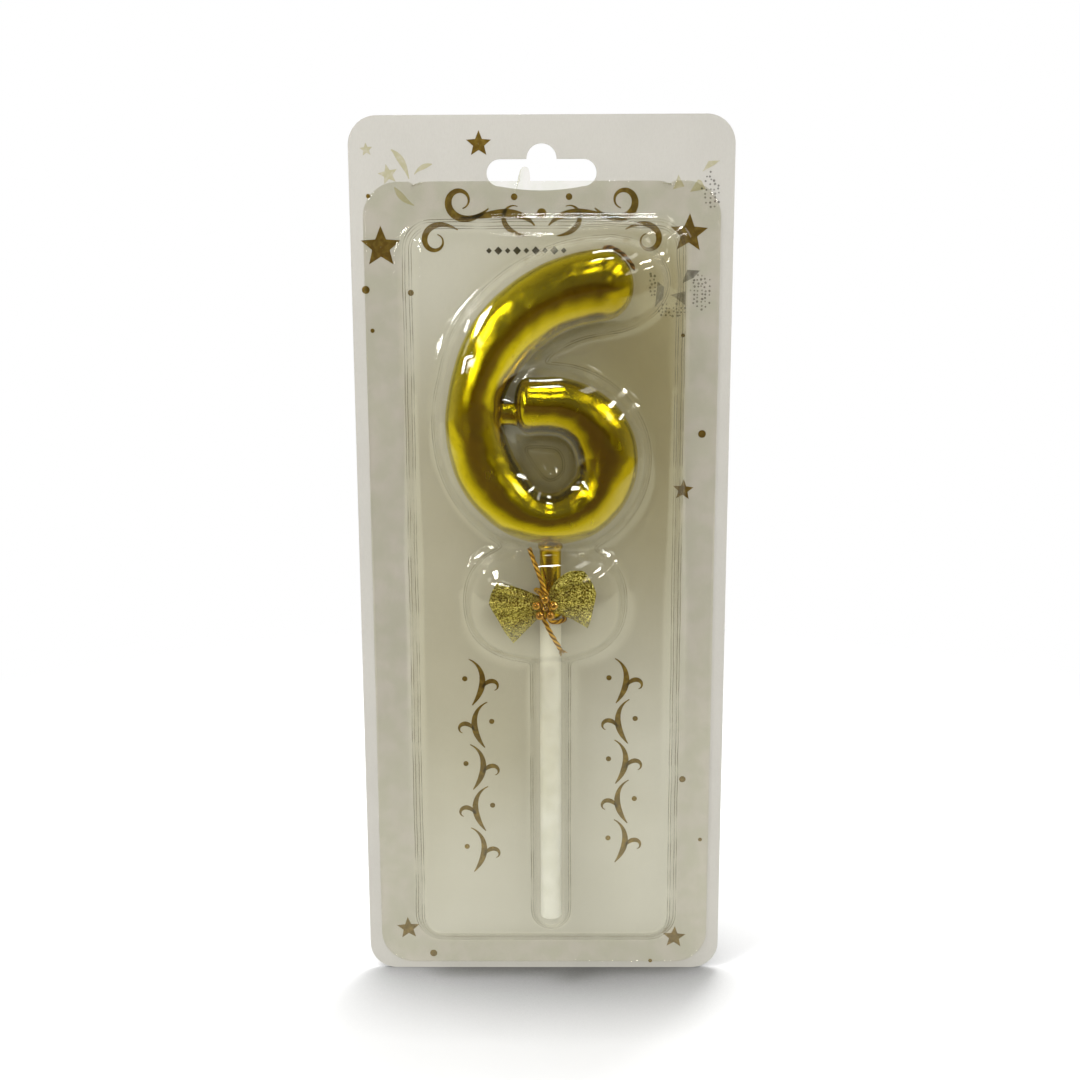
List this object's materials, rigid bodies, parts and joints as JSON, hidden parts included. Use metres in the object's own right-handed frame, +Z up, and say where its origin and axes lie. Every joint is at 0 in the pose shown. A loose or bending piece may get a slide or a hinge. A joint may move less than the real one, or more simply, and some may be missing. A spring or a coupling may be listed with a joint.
{
  "type": "number candle",
  "caption": "Gold numeral six cake candle on a tube stick with a ribbon bow, packed under a clear formed blister sealed to a hang card.",
  "frame": {"origin": "top of the round notch of the hang hole, where a peg carries the pack, halfway through the card", "axes": "+Z up along the card, +Y out of the card's back, so the printed front faces -Y; +X to the right as the front is seen"},
  "size_m": [0.087, 0.0159, 0.205],
  "materials": {
    "card": "coated card, satin, printed on the front",
    "blister": "clear formed sheet, glossy",
    "gold_wax": "wax with a mirror gold metal coat",
    "wick": "waxed cotton thread",
    "gold_neck": "gold metal coat",
    "stick": "milky translucent tube",
    "ribbon": "woven metallic ribbon with glitter",
    "cord": "twisted metallic cord",
    "bead": "amber gold, glossy"
  },
  "bodies": {
    "card": {"backing_card": "card"},
    "blister": {"blister_shell": "blister"},
    "candle": {"number_six": "gold_wax", "wick": "wick", "neck_post": "gold_neck", "stick": "stick"},
    "bow": {"bow_ribbon": "ribbon", "tie_cord": "cord", "petal_bead_1": "bead", "petal_bead_2": "bead", "petal_bead_3": "bead", "petal_bead_4": "bead", "petal_bead_5": "bead", "centre_bead": "bead"}
  },
  "joints": [
    {"name": "blister_lift", "type": "slide", "parent": "card", "child": "blister", "axis": [0, -1, 0], "range_m": [0, 0.06]},
    {"name": "candle_lift", "type": "slide", "parent": "card", "child": "candle", "axis": [0, -1, 0], "range_m": [0, 0.03]},
    {"name": "bow_turn", "type": "hinge", "parent": "candle", "child": "bow", "pos_m": [0.0018, -0.00715, -0.10367], "axis": [0, 0, 1], "range_deg": [-5, 5]}
  ],
  "couplings": [
    {"joint": "candle_lift", "follows": "blister_lift", "ratio": 0.5}
  ]
}
